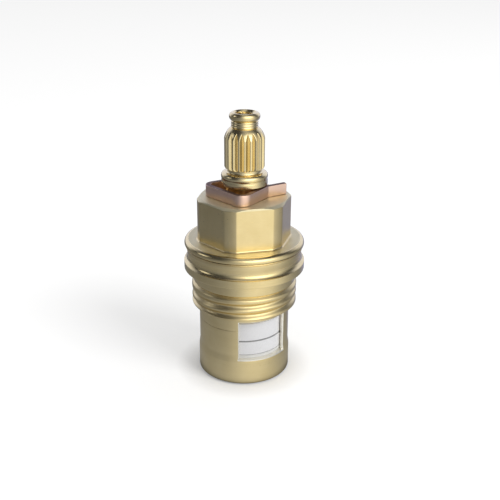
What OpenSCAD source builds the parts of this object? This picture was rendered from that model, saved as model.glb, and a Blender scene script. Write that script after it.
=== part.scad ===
// Quarter turn tap cartridge with ceramic discs, as it stands on its lower end.
// Millimetres. Z runs up the spindle, the bottom seal rests on Z = 0, and the
// two water windows face -Y and +Y. The drawing shows the closed position.

/* [Cage] */
// How far the rubber seal stands out below the brass
seal_proud = 0.3; // [0.2:0.1:1]
// Height of the thicker ring at the foot of the cage, up to the window sills
foot_ring_h = 5.27; // [4.5:0.1:6.5]
// How far that ring stands out from the cage
foot_step = 0.2; // [0.1:0.05:0.5]
// Rounding of the ring's lower edge
foot_round = 0.25; // [0.15:0.05:0.8]
// Outside diameter of the cage above the ring
cage_d = 18.1; // [17.8:0.1:18.2]
// Wall of the cage round the discs
cage_wall = 0.85; // [0.7:0.05:1]
// Chamfer at the mouths of the two bores
bore_chamfer = 0.2; // [0.1:0.05:0.3]
// Width of each water window
window_w = 9.6; // [8:0.1:10]
// Height of each water window
window_h = 8.13; // [7.9:0.1:9]
// Brass between the top of a window and the thread
window_cover = 1.3; // [1.2:0.1:3]

/* [Thread and flanges] */
// Diameter over the thread crests, G 1/2
thread_d = 20.955; // [20.5:0.005:21.2]
// Length of the threaded barrel
thread_len = 4.67; // [3.5:0.1:8]
// Lead chamfer at the lower end of the threaded barrel
thread_lead = 0.35; // [0.2:0.05:0.8]
// Chamfer at the upper end of the threaded barrel
thread_chamfer = 0.35; // [0.1:0.05:0.6]
// Diameter of the plain relief above the thread
relief_d = 18.6; // [18:0.1:19.4]
// Length of the relief
relief_len = 2.7; // [2:0.1:4]
// Diameter of the flange that seats on the valve body
seat_flange_d = 23.86; // [22.5:0.1:26]
// Thickness of that flange
seat_flange_h = 1.98; // [1.5:0.1:3.5]
// Chamfer that breaks the sharp edges of the turned brass
edge_break = 0.15; // [0.1:0.01:0.2]
// Height of the hollow groove between the two flanges
flange_groove_h = 2.05; // [1.2:0.1:2.6]
// Depth of that groove, measured from the seat flange
flange_groove_depth = 0.95; // [0.4:0.05:1.5]
// Diameter over the two beads of the upper flange
bead_flange_d = 23.62; // [22.5:0.1:25]
// Height of one bead, two of them lying on each other
bead_h = 0.8; // [0.6:0.02:1.2]
// How far a bead bulges out
bead_bulge = 0.34; // [0.2:0.02:0.5]
// Height left for the crease above and below a bead
bead_crease = 0.06; // [0.04:0.01:0.1]
// Height of the plain rim above the beads
rim_h = 0.4; // [0.3:0.05:0.8]
// How far that rim stands out from the creases
rim_bulge = 0.22; // [0.1:0.02:0.3]

/* [Hexagon] */
// Size across the flats of the hexagon
hex_af = 17; // [16:0.5:18]
// Diameter of the turned corners of the hexagon
hex_corner_d = 18.4; // [18.3:0.1:19.2]
// Height of the hexagon, from flange to top face
hex_h = 8.52; // [7:0.1:12]
// Diameter of the flat top face inside its chamfer
top_rim_d = 16.6; // [15.8:0.1:16.8]
// Height of the top chamfer
top_chamfer_h = 0.6; // [0.4:0.05:1.2]
// Turn of the hexagon against the windows, degrees
hex_turn = 17; // [0:1:30]

/* [Spindle] */
// Diameter of the spindle where it runs in the bonnet
stem_d = 9; // [8.6:0.1:9.2]
// Radial running clearance of the spindle in the bonnet
stem_clear = 0.05; // [0.03:0.01:0.08]
// Height of the collar above the clip
collar_h = 2.5; // [1.8:0.1:3.5]
// Rounding of the collar's upper edge
collar_round = 0.7; // [0.2:0.05:0.8]
// Diameter of the neck between collar and spline
neck_d = 6.6; // [6:0.1:6.8]
// Height of that neck
neck_h = 0.7; // [0.55:0.05:1.6]
// Fillet between the neck and the collar
neck_fillet = 0.3; // [0.2:0.05:0.4]

/* [Spline and tip] */
// Number of teeth on the spline
spline_teeth = 20; // [16:1:24]
// Diameter over the spline teeth
spline_d = 7.7; // [7.5:0.05:8.1]
// Depth of the grooves between the teeth
spline_depth = 0.56; // [0.4:0.02:0.6]
// Width of a groove at its mouth
spline_groove_w = 0.92; // [0.6:0.02:0.94]
// Height of the full spline
spline_h = 5.85; // [4.5:0.1:8]
// Chamfer at the spline's lower end
spline_chamfer = 0.25; // [0.15:0.05:0.45]
// Height of the domed shoulder above the spline
shoulder_h = 1.9; // [1.6:0.05:2.4]
// Diameter at the top of the shoulder
shoulder_top_d = 5.6; // [5.4:0.1:6]
// Inward lean of the shoulder where it leaves the spline, degrees
shoulder_lean = 12; // [4:1:16]
// Turn of the spline grooves against the windows, degrees
spline_turn = 1.5; // [0:0.5:17.5]
// Diameter of the slim neck under the tip
tip_neck_d = 5.08; // [4.8:0.02:5.4]
// Height of the slim neck
tip_neck_h = 1.4; // [0.8:0.05:1.8]
// Diameter of the rounded lip at the tip
tip_lip_d = 5.86; // [5.6:0.02:6.2]
// Height of that lip
tip_lip_h = 1.5; // [1:0.05:1.7]
// Diameter of the tapped hole for the handle screw
screw_hole_d = 3.3; // [3:0.1:3.5]
// Depth of the tapped hole
screw_hole_depth = 9; // [6:0.5:12]
// Diameter of the countersink at the mouth of the hole
screw_mouth_d = 4.3; // [4.2:0.1:4.6]

/* [Retaining clip] */
// Diameter of the clip groove in the spindle
clip_groove_d = 7.2; // [6.9:0.1:7.4]
// Thickness of the clip's strip
clip_t = 1; // [0.8:0.05:1.1]
// Height of the clip's strip
clip_h = 2.2; // [1.8:0.1:2.6]
// Clearance of the clip in its groove, up and down
clip_play = 0.05; // [0.03:0.01:0.1]
// Clearance between the clip's legs and the groove
clip_grip = 0.08; // [0.05:0.01:0.15]
// Distance from the spindle's axis to the back of the clip
clip_back = 6.05; // [5.6:0.1:6.3]
// Outside radius of the clip's corners
clip_corner_r = 2.1; // [1.8:0.1:2.6]
// Lean of each leg towards the other, degrees
clip_lean = 13.5; // [8:0.5:16]
// Distance past the axis where the legs bend outwards
clip_bend = 2.3; // [1.8:0.1:2.8]
// Length of each flared end
clip_arm_len = 4.2; // [2.5:0.1:4.6]
// Outward angle of the flared ends, degrees
clip_splay = 11.7; // [6:0.1:16]
// Direction of the clip's open side, degrees
clip_turn = 16; // [0:1:90]

/* [Valve parts] */
// Thickness of the fixed ceramic disc
fixed_disc_t = 3; // [2.6:0.1:3.2]
// Thickness of the moving ceramic disc
moving_disc_t = 3.9; // [3.4:0.1:4]
// Radial clearance of the fixed disc in the cage
fixed_clear = 0.08; // [0.04:0.01:0.12]
// Radial clearance of the turning parts in the cage
moving_clear = 0.15; // [0.1:0.01:0.25]
// Film between the two lapped disc faces
disc_film = 0.03; // [0.02:0.01:0.05]
// Chamfer round the rims of both discs
disc_chamfer = 0.15; // [0.05:0.05:0.25]
// Width of the fixed disc's land outside the ports, from the cage bore
port_land = 1.3; // [1.2:0.1:1.8]
// Radial width of the ports in the fixed disc
port_w = 3.3; // [2.6:0.1:3.6]
// Half of the angle that each port spans, degrees
port_half = 38; // [30:1:40]
// Half of the angle of each solid side of the moving disc
cover_half = 47; // [46:0.5:48]
// How much smaller the moving disc's hub is than the ring of ports
hub_gap = 0.3; // [0.2:0.1:0.5]
// Width of the ribs that key the fixed disc
key_w = 1.6; // [1.2:0.1:2]
// Inward height of those ribs
key_h = 0.8; // [0.6:0.1:0.9]
// Clearance of the disc's notches round the ribs
key_clear = 0.06; // [0.04:0.01:0.1]
// Width of the drive tabs under the spindle
drive_w = 2.4; // [2:0.1:2.6]
// Radial length of the drive tabs
drive_len = 2.9; // [2.2:0.1:3.1]
// Distance of the drive tabs from the cage bore
drive_margin = 2.3; // [2.1:0.1:2.8]
// Length of the drive tabs
drive_h = 1.4; // [1:0.1:1.8]
// Clearance of the drive tabs in the disc
drive_clear = 0.05; // [0.03:0.01:0.1]
// Thickness of the spindle's drive flange
drive_flange_t = 1.45; // [1.2:0.05:1.8]
// How far the two stop lobes stand out from that flange
lobe_h = 1.45; // [1.25:0.05:1.65]
// Turn from closed to open, degrees
turn_angle = 90; // [80:1:90]
// Angle that each stop rib spans, degrees
stop_arc = 16; // [12:1:16]
// Angular play at each stop, degrees
stop_play = 1; // [0.5:0.1:1.5]
// Clearance between flange core and stop ribs
stop_clear = 0.12; // [0.08:0.01:0.2]
// Thickness of the slip washer
washer_t = 1; // [0.8:0.05:1.2]
// Radial room round the slip washer
washer_margin = 1; // [0.6:0.1:1.4]
// Clearance of the slip washer round the stem
washer_clear = 0.1; // [0.06:0.01:0.15]
// Running gap above and below turning faces
face_gap = 0.03; // [0.02:0.01:0.05]

/* [Seals] */
// Width of each O-ring groove in the spindle
gland_w = 1.9; // [1.7:0.1:2.2]
// Diameter at the bottom of the O-ring grooves
gland_d = 6.2; // [6:0.1:6.5]
// Height of the lower O-ring above the bonnet's inner shoulder
gland_low = 6.5; // [4:0.1:8]
// Distance between the two O-rings
gland_pitch = 4.5; // [3:0.1:8]
// How near an O-ring comes to the walls of its groove
o_ring_touch = 0.02; // [0.01:0.01:0.03]
// Radial clearance of the seal and its ring in the cage
seal_clear = 0.05; // [0.03:0.01:0.1]
// How much of the support ring shows above the window sill
ring_show = 0.63; // [0.3:0.05:0.8]
// Radial width of the support ring
ring_w = 3; // [2.8:0.1:3.4]
// Wall of the support ring's spigot inside the seal
spigot_t = 0.9; // [0.7:0.1:1.1]
// Height of that spigot
spigot_h = 1.2; // [0.8:0.1:1.5]
// Thickness of the rubber seal
seal_h = 2.45; // [2:0.05:3]
// Rounding of the seal's lower edges
seal_round = 0.4; // [0.2:0.05:0.5]

/* [Hidden] */
$fn = 96;

// heights on the brass body, from the bottom up
z_foot = seal_proud;
z_sill = z_foot + foot_ring_h;
z_window_top = z_sill + window_h;
z_thread = z_window_top + window_cover;
z_relief = z_thread + thread_len;
z_seat = z_relief + relief_len;
z_groove = z_seat + seat_flange_h;
z_beads = z_groove + flange_groove_h;
z_rim = z_beads + 2 * bead_h;
z_hex = z_rim + rim_h;
z_top = z_hex + hex_h;

// heights inside the cage
z_seal_top = seal_h;
z_disc = z_sill + ring_show;
z_moving = z_disc + fixed_disc_t + disc_film;
z_flange = z_moving + moving_disc_t + face_gap;
z_flange_top = z_flange + drive_flange_t;
z_washer = z_flange_top + face_gap;
z_shoulder = z_washer + washer_t + face_gap;
z_gland_low = z_shoulder + gland_low;
z_gland_high = z_gland_low + gland_pitch;

// heights on the spindle above the bonnet
z_clip = z_top + clip_play;
z_collar = z_clip + clip_h + clip_play;
z_neck = z_collar + collar_h;
z_spline = z_neck + neck_h;
z_shoulder_out = z_spline + spline_h;
z_tip_neck = z_shoulder_out + shoulder_h;
z_lip = z_tip_neck + tip_neck_h;
z_end = z_lip + tip_lip_h;

cage_bore_r = cage_d / 2 - cage_wall;
stem_bore_r = stem_d / 2 + stem_clear;
turning_r = cage_bore_r - moving_clear;
drive_core_r = turning_r - lobe_h;
drive_r_out = cage_bore_r - drive_margin;
drive_r_in = drive_r_out - drive_len;
port_r_out = cage_bore_r - port_land;
port_r_in = port_r_out - port_w;
hub_r = port_r_in - hub_gap;
lobe_arc = 180 - stop_arc - turn_angle - 2 * stop_play;
waterway_r = cage_bore_r - ring_w;
spigot_r = waterway_r + spigot_t;
stop_mid = 90 - lobe_arc / 2 - stop_play - stop_arc / 2;
steps = 8;
cut = 0.5;

// points of an elliptic arc, for profiles that are turned about Z
function arc(cx, cz, rx, rz, a0, a1, n = steps) =
    [for (i = [0:n]) let (a = a0 + (a1 - a0) * i / n) [cx + rx * cos(a), cz + rz * sin(a)]];

// points of the shoulder: one circular arc that leaves radius r with a lean and
// comes in by drop over the height h
function shoulder_arc(r, drop, z, h, lean) =
    let (rho = (drop * drop + h * h) / (2 * (drop * cos(lean) - h * sin(lean))),
         top = asin(sin(lean) + h / rho))
    arc(r - rho * cos(lean), z - rho * sin(lean), rho, rho, lean, top);

module turned(points) { rotate_extrude() polygon(points); }

// a round plate with chamfered rims
module plate(r, z0, z1, c) {
    turned([[0, z0], [r - c, z0], [r, z0 + c], [r, z1 - c], [r - c, z1], [0, z1]]);
}

// a plain round tube or disc between two heights
module tube(r_out, r_in, z0, z1) {
    difference() {
        translate([0, 0, z0]) cylinder(r = r_out, h = z1 - z0);
        translate([0, 0, z0 - cut]) cylinder(r = r_in, h = z1 - z0 + 2 * cut);
    }
}

// a wedge about the direction mid, spanning half each way, for cutting sectors
module wedge(mid, half, reach, z0, z1) {
    far = reach / cos(half);
    rotate([0, 0, mid]) translate([0, 0, z0]) linear_extrude(height = z1 - z0)
        polygon([[0, 0], [far * cos(half), -far * sin(half)], [far * cos(half), far * sin(half)]]);
}

// part of a ring, as left between two radii inside a wedge
module ring_sector(r_out, r_in, z0, z1, mid, half) {
    intersection() {
        tube(r_out, r_in, z0, z1);
        wedge(mid, half, r_out + 1, z0 - cut, z1 + cut);
    }
}

// the outside of the turned body below the hexagon
module body_turning() {
    cage_r = cage_d / 2;
    foot_r = cage_r + foot_step;
    thread_r = thread_d / 2;
    seat_r = seat_flange_d / 2;
    bead_r = bead_flange_d / 2;
    bead_foot = bead_r - bead_bulge;
    hollow_r = seat_r - flange_groove_depth;
    hollow_z = (z_groove - edge_break + z_beads) / 2;
    hollow_half = (flange_groove_h + edge_break) / 2;
    turned(concat(
        [[0, z_foot]],
        arc(foot_r - foot_round, z_foot + foot_round, foot_round, foot_round, -90, 0, 5),
        [[foot_r, z_sill], [cage_r, z_sill + foot_step], [cage_r, z_thread],
         [thread_r - thread_lead, z_thread], [thread_r, z_thread + thread_lead],
         [thread_r, z_relief - thread_chamfer], [thread_r - thread_chamfer, z_relief],
         [relief_d / 2, z_relief], [relief_d / 2, z_seat],
         [seat_r - edge_break, z_seat], [seat_r, z_seat + edge_break]],
        arc(seat_r, hollow_z, flange_groove_depth, hollow_half, 270, 180, 5),
        arc(bead_foot, hollow_z, bead_foot - hollow_r, hollow_half, 162, 90, 4),
        arc(bead_foot, z_beads + bead_h / 2, bead_bulge, bead_h / 2 - bead_crease, -90, 90, 8),
        arc(bead_foot, z_beads + 1.5 * bead_h, bead_bulge, bead_h / 2 - bead_crease, -90, 90, 8),
        [[bead_foot, z_rim + bead_crease]],
        arc(bead_foot, z_rim + bead_crease, rim_bulge, rim_h - bead_crease, 0, 90, 4),
        [[0, z_hex]]));
}

// hexagon with turned corners and a chamfered top
module hexagon() {
    intersection() {
        rotate([0, 0, hex_turn - 30]) translate([0, 0, z_hex - cut])
            cylinder(d = hex_af / cos(30), h = hex_h + cut, $fn = 6);
        turned([[0, z_hex - cut], [hex_corner_d / 2, z_hex - cut],
                [hex_corner_d / 2, z_top - top_chamfer_h],
                [top_rim_d / 2, z_top], [0, z_top]]);
    }
}

module bonnet() {
    color("goldenrod") {
        difference() {
            union() {
                body_turning();
                hexagon();
            }
            // both bores, with their mouths chamfered
            turned([[0, z_foot - cut], [cage_bore_r + bore_chamfer + cut, z_foot - cut],
                    [cage_bore_r, z_foot + bore_chamfer], [cage_bore_r, z_shoulder],
                    [stem_bore_r, z_shoulder], [stem_bore_r, z_top - bore_chamfer],
                    [stem_bore_r + bore_chamfer + cut, z_top + cut], [0, z_top + cut]]);
            for (side = [90, 270]) rotate([0, 0, side])
                translate([cage_bore_r * 0.75, -window_w / 2, z_sill])
                    cube([cage_d / 2, window_w, window_h]);
        }
        // ribs that keep the fixed disc from turning
        for (side = [0, 180]) rotate([0, 0, side]) intersection() {
            tube(cage_bore_r + 0.3, cage_bore_r - key_h, z_disc, z_moving - disc_film);
            translate([0, -key_w / 2, z_disc]) cube([cage_bore_r + 1, key_w, fixed_disc_t]);
        }
        // ribs that stop the spindle when closed and when open
        for (side = [0, 180])
            ring_sector(cage_bore_r + 0.3, drive_core_r + stop_clear,
                        z_flange + face_gap, z_flange_top, stop_mid + side, stop_arc / 2);
    }
}

// one groove of the spline, cut straight down the whole head
module spline_groove() {
    mouth_r = spline_d / 2;
    root_r = mouth_r - spline_depth;
    half = spline_groove_w / 2;
    reach = 2;
    translate([0, 0, z_neck + 0.1]) linear_extrude(height = z_lip - z_neck)
        polygon([[root_r, 0], [root_r + reach * spline_depth, -reach * half],
                 [root_r + reach * spline_depth, reach * half]]);
}

// splined head with its domed shoulder
module spline_head() {
    r = spline_d / 2;
    difference() {
        turned(concat(
            [[0, z_spline - cut], [neck_d / 2 - 0.02, z_spline - cut],
             [neck_d / 2 - 0.02, z_spline], [r - spline_chamfer, z_spline],
             [r, z_spline + spline_chamfer]],
            shoulder_arc(r, r - shoulder_top_d / 2, z_shoulder_out, shoulder_h, shoulder_lean),
            [[0, z_tip_neck]]));
        for (i = [0:spline_teeth - 1])
            rotate([0, 0, spline_turn + i * 360 / spline_teeth]) spline_groove();
    }
}

// everything on the spindle that is turned, without the spline
module spindle_turning() {
    stem_r = stem_d / 2;
    neck_r = neck_d / 2;
    gland_r = gland_d / 2;
    lip_r = tip_lip_d / 2;
    half = gland_w / 2;
    // a small flat stays between the collar's rounding and the neck's fillet
    collar_r = min(collar_round, stem_r - neck_r - neck_fillet - 0.1);
    turned(concat(
        [[0, z_flange], [stem_r, z_flange],
         [stem_r, z_gland_low - half], [gland_r, z_gland_low - half],
         [gland_r, z_gland_low + half], [stem_r, z_gland_low + half],
         [stem_r, z_gland_high - half], [gland_r, z_gland_high - half],
         [gland_r, z_gland_high + half], [stem_r, z_gland_high + half],
         [stem_r, z_top], [clip_groove_d / 2, z_top], [clip_groove_d / 2, z_collar]],
        [[stem_r - 0.15, z_collar], [stem_r, z_collar + 0.15]],
        arc(stem_r - collar_r, z_neck - collar_r, collar_r, collar_r, 0, 90, 5),
        arc(neck_r + neck_fillet, z_neck + neck_fillet, neck_fillet, neck_fillet, 270, 180, 5),
        [[neck_r, z_spline], [0, z_spline]]));
    turned(concat(
        [[0, z_spline], [tip_neck_d / 2, z_spline], [tip_neck_d / 2, z_lip]],
        arc(lip_r - tip_lip_h * 0.42, z_lip + tip_lip_h / 2, tip_lip_h * 0.42, tip_lip_h / 2, -80, 90, 8),
        [[0, z_end]]));
}

module spindle() {
    color("khaki") difference() {
        union() {
            spindle_turning();
            spline_head();
            // drive flange with two lobes that meet the stops
            translate([0, 0, z_flange]) cylinder(r = drive_core_r, h = drive_flange_t);
            for (side = [90, 270])
                ring_sector(turning_r, drive_core_r - 1, z_flange, z_flange_top, side, lobe_arc / 2);
            // two tabs that turn the moving disc
            for (side = [90, 270]) rotate([0, 0, side])
                translate([drive_r_in, -drive_w / 2, z_flange - drive_h])
                    cube([drive_r_out - drive_r_in, drive_w, drive_h + cut]);
        }
        // tapped hole for the handle screw, with its countersink
        translate([0, 0, z_end - screw_hole_depth]) cylinder(d = screw_hole_d, h = screw_hole_depth + cut);
        turned([[0, z_end - (screw_mouth_d - screw_hole_d) / 2 - cut],
                [screw_hole_d / 2 - cut, z_end - (screw_mouth_d - screw_hole_d) / 2 - cut],
                [screw_mouth_d / 2 + cut, z_end + cut], [0, z_end + cut]]);
    }
}

// one half of the bent strip, in its own frame with the open side along +X
module clip_half() {
    z0 = z_clip;
    leg_out = clip_groove_d / 2 + clip_grip + clip_t;
    r_in = clip_corner_r - clip_t;
    cx = clip_corner_r - clip_back;
    cy = (leg_out - clip_corner_r - sin(clip_lean) * cx) / cos(clip_lean);
    by = (leg_out - sin(clip_lean) * clip_bend) / cos(clip_lean);
    leg_len = cos(clip_lean) * (clip_bend - cx) - sin(clip_lean) * (by - cy);
    corner_turn = 90 + clip_lean;
    bend_turn = clip_lean + clip_splay;
    // back of the clip
    translate([-clip_back, 0, z0]) cube([clip_t, cy, clip_h]);
    // rounded corner
    translate([cx, cy, 0])
        ring_sector(clip_corner_r, r_in, z0, z0 + clip_h, 180 - corner_turn / 2, corner_turn / 2);
    // leg, leaning inwards
    translate([cx, cy, z0]) rotate([0, 0, -clip_lean])
        translate([0, r_in, 0]) cube([leg_len, clip_t, clip_h]);
    // flared end, turned about the outside of the bend
    translate([clip_bend, by, 0]) {
        intersection() {
            translate([0, 0, z0]) cylinder(r = clip_t, h = clip_h);
            wedge(-90 - clip_lean + bend_turn / 2, bend_turn / 2, clip_t + 1, z0 - cut, z0 + clip_h + cut);
        }
        rotate([0, 0, clip_splay]) translate([0, -clip_t, z0]) cube([clip_arm_len, clip_t, clip_h]);
    }
}

module retaining_clip() {
    color("peru") rotate([0, 0, clip_turn]) {
        clip_half();
        mirror([0, 1, 0]) clip_half();
    }
}

module o_ring(z) {
    inner = gland_d / 2 + o_ring_touch;
    outer = stem_bore_r - o_ring_touch;
    section = (outer - inner) / 2;
    translate([0, 0, z]) rotate_extrude() translate([inner + section, 0]) circle(r = section, $fn = 32);
}

module upper_o_ring() { color("dimgray") o_ring(z_gland_high); }

module lower_o_ring() { color("dimgray") o_ring(z_gland_low); }

module slip_washer() {
    color("whitesmoke")
        tube(cage_bore_r - washer_margin, stem_d / 2 + washer_clear, z_washer, z_washer + washer_t);
}

module moving_disc() {
    open_half = 90 - cover_half;
    color("ghostwhite") difference() {
        plate(turning_r, z_moving, z_moving + moving_disc_t, disc_chamfer);
        for (side = [0, 180]) difference() {
            wedge(side, open_half, turning_r + 2, z_moving - cut, z_moving + moving_disc_t + cut);
            translate([0, 0, z_moving - cut]) cylinder(r = hub_r, h = moving_disc_t + 2 * cut);
        }
        // pockets for the drive tabs
        for (side = [90, 270]) rotate([0, 0, side])
            translate([drive_r_in - drive_clear, -drive_w / 2 - drive_clear,
                       z_flange - drive_h - drive_clear])
                cube([drive_r_out - drive_r_in + 2 * drive_clear, drive_w + 2 * drive_clear,
                      drive_h + drive_clear + cut]);
    }
}

module fixed_disc() {
    r = cage_bore_r - fixed_clear;
    color("white") difference() {
        plate(r, z_disc, z_disc + fixed_disc_t, disc_chamfer);
        for (side = [90, 270])
            ring_sector(port_r_out, port_r_in, z_disc - cut, z_disc + fixed_disc_t + cut, side, port_half);
        for (side = [0, 180]) rotate([0, 0, side])
            translate([cage_bore_r - key_h - key_clear, -key_w / 2 - key_clear, z_disc - cut])
                cube([key_h + 1, key_w + 2 * key_clear, fixed_disc_t + 2 * cut]);
    }
}

module seal_support_ring() {
    color("snow") {
        tube(cage_bore_r - seal_clear, waterway_r, z_seal_top, z_disc);
        tube(spigot_r, waterway_r, z_seal_top - spigot_h, z_seal_top + cut);
    }
}

module bottom_seal() {
    r_out = cage_bore_r - seal_clear;
    r_in = spigot_r + seal_clear;
    color("black") turned(concat(
        arc(r_in + seal_round, seal_round, seal_round, seal_round, 180, 270, 4),
        arc(r_out - seal_round, seal_round, seal_round, seal_round, 270, 360, 4),
        [[r_out, z_seal_top], [r_in, z_seal_top]]));
}

bonnet();
spindle();
retaining_clip();
upper_o_ring();
lower_o_ring();
slip_washer();
moving_disc();
fixed_disc();
seal_support_ring();
bottom_seal();
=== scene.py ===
"""The looks of a brass quarter-turn faucet stem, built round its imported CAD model.

The three pieces that show finer form in the real object (the threaded body, the
splined spindle and the bent clip) are rebuilt here as meshes in the same place. The
other seven keep their CAD meshes and get materials. Sizes are in millimetres and
repeat those of the CAD source, apart from softer forms that the photograph shows.
"""

import math

import bpy
import numpy as np
from mathutils import Matrix, Vector


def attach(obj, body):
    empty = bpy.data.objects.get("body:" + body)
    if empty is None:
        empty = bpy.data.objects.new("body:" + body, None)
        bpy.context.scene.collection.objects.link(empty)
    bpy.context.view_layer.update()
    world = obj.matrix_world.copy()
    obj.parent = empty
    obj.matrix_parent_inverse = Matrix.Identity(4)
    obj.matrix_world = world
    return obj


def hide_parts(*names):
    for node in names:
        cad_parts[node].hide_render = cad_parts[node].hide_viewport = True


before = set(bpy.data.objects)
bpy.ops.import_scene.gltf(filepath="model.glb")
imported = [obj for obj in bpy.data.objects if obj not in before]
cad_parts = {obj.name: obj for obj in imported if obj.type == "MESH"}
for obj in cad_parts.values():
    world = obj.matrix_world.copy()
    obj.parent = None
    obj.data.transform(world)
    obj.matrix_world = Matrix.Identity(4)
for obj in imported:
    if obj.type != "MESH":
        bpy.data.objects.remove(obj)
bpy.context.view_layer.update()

MM = 0.001
TAU = 2 * math.pi

# the photograph's camera, found from the edges of the object's rings
CAMERA_TURN = math.radians(-27)
CAMERA_PITCH = math.radians(22.312)
CAMERA_ROLL = math.radians(0.35)
CAMERA_TARGET = (1.14, 0, 25.465)
CAMERA_DISTANCE = 149.05
CAMERA_LENS = 54
CAMERA_FILM = 36
VIEW_ANGLE = CAMERA_TURN - math.pi / 2

# heights of the body's outside, each from the one below it
Z_FOOT = 0.3
Z_SILL = Z_FOOT + 5.27
Z_SEAM = Z_SILL + 6.33
Z_WINDOW_TOP = Z_SILL + 8.13
Z_THREAD = Z_WINDOW_TOP + 1.3
Z_WALL = Z_THREAD + 4.67
Z_SEAT = Z_WALL + 2.7
Z_HOLLOW = Z_SEAT + 1.53
Z_DEEP = Z_HOLLOW + 1.0
Z_BEAD = Z_DEEP + 1.75
Z_CREASE = Z_BEAD + 0.45
Z_HEX = Z_CREASE + 1.3
Z_TOP = Z_HEX + 8.52

# heights inside the cage
FIXED_DISC_T = 3.0
MOVING_DISC_T = 3.9
FACE_GAP = 0.03
Z_DISC = Z_SILL + 0.63
Z_MOVING = Z_DISC + FIXED_DISC_T + FACE_GAP
Z_FLANGE = Z_MOVING + MOVING_DISC_T + FACE_GAP
Z_FLANGE_TOP = Z_FLANGE + 1.45
Z_SHOULDER = Z_FLANGE_TOP + 1.06

# heights above the hexagon
CLIP_H = 2.2
CLIP_PLAY = 0.05
Z_CLIP = Z_TOP + CLIP_PLAY
Z_COLLAR = Z_CLIP + CLIP_H + CLIP_PLAY
Z_WAIST = Z_COLLAR + 1.23
Z_NECK = Z_COLLAR + 2.5
Z_SPLINE = Z_NECK + 0.7
Z_DOME = Z_SPLINE + 5.85
Z_TIP_NECK = Z_DOME + 1.9
Z_LIP = Z_TIP_NECK + 1.4
Z_END = Z_LIP + 1.5

# the cage and its window
CAGE_R = 9.05
FOOT_R = CAGE_R + 0.2
BORE_R = CAGE_R - 0.85
SEAM_HALF = 0.09
SEAM_DEPTH = 0.05
WINDOW_W = 9.6
WINDOW_IN_R = 7.3
WINDOW_OUT_R = 10.2
WINDOW_CHAMFER = 0.2
RIB_HALF = 6.2
STOP_HALF = 8
STOP_CLEAR = 0.12

# the thread, G 1/2, with a crest at Z_CREST on the camera's side, and the wall above it
Z_CREST = 18.75
THREAD_R = 10.4775
THREAD_PITCH = 1.814
THREAD_DEPTH = 0.5
THREAD_POWER = 1.2
THREAD_LEAD = 0.08
THREAD_FOOT_R = CAGE_R + 0.25
THREAD_ROW = 0.055
END_RING_H = 0.25
END_RING_SLOPE = 1.5
WALL_R = 10.2
WALL_EDGE = 0.2

# the two flanges and the hollow between them
SEAT_R = 11.93
BEAD_R = 11.81
HOLLOW_ARC = math.radians(62)
HOLLOW_DEPTH = 0.75
UNDERCUT = 0.4
CREASE_DEPTH = 0.45
CREASE_HALF = 0.05
RIM_ROUND = 0.8

# the hexagon
HEX_FLAT = 8.5
HEX_CORNER_R = 9.2
HEX_RIM_R = 8.45
HEX_CHAMFER = 0.4
HEX_FILLET = 0.35
HEX_TURN = math.radians(17)
HEX_CORNER_EDGE = 22.5

# the spindle's stem, drive and collar
STEM_R = 4.5
STEM_BORE_R = STEM_R + 0.05
GLAND_R = 3.1
GLAND_W = 1.9
GLAND_Z = (Z_SHOULDER + 6.5, Z_SHOULDER + 11.0)
CLIP_GROOVE_R = 3.6
NECK_R = 3.3
WAIST_DEPTH = 0.12
LOBE_R = 8.05
LOBE_HALF = 36
DRIVE_CORE_R = 6.6
DRIVE_EDGE = 0.1
TAB_HALF = 1.2
TAB_Y = (3.0, 5.9)
TAB_H = 1.4

# the spline and the dome above it
SPLINE_R = 3.85
SPLINE_DEPTH = 0.56
SPLINE_HALF = 0.46
SPLINE_TURN = math.radians(1.5)
TEETH = 20
DOME_LEAN = math.radians(12)
DOME_TOP_R = 2.8

# the tip, its fine ridges and its tapped hole, M4
TIP_NECK_R = 2.54
RIDGE_PITCH = 0.43
RIDGE_H = 0.07
LIP_R = 2.93
LIP_ROUND_R = 0.63
LIP_HALF_H = 0.75
HOLE_R = 1.65
HOLE_DEPTH = 9.0
MOUTH_R = 2.15
TAP_PITCH = 0.7
TAP_DEPTH = 0.36
TAP_SLOPE = 1.25
TAP_LENGTH = 5.3

# the clip
CLIP_T = 1.0
CLIP_EDGE = 0.12
CLIP_END = 0.11
CLIP_GRIP = 0.08
CLIP_BACK = 6.05
CLIP_CORNER_R = 2.1
CLIP_BEND = 2.3
CLIP_ARM = 4.2
CLIP_LEAN = math.radians(13.5)
CLIP_SPLAY = math.radians(11.7)
CLIP_TURN = math.radians(16)


# shapes

def smooth_min(a, b, k):
    """The lesser of two radii, with the edge between them rounded over about k."""
    return 0.5 * (a + b - np.sqrt((a - b) ** 2 + k * k))


def smooth_max(a, b, k):
    """The greater of two radii, with the edge between them rounded over about k."""
    return 0.5 * (a + b + np.sqrt((a - b) ** 2 + k * k))


def fillet_arc(before, here, after, radius, segments=4):
    """Points of the arc that rounds the corner at here."""
    u = (before - here) / np.linalg.norm(before - here)
    v = (after - here) / np.linalg.norm(after - here)
    angle = math.acos(max(-1.0, min(1.0, float(u @ v))))
    reach = radius / math.tan(angle / 2)
    bisector = (u + v) / np.linalg.norm(u + v)
    centre = here + bisector * radius / math.sin(angle / 2)
    (r0, z0), (r1, z1) = here + u * reach - centre, here + v * reach - centre
    start = math.atan2(z0, r0)
    turn = (math.atan2(z1, r1) - start + math.pi) % TAU - math.pi
    angles = [start + turn * i / segments for i in range(segments + 1)]
    return [centre + radius * np.array([math.cos(a), math.sin(a)]) for a in angles]


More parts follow.
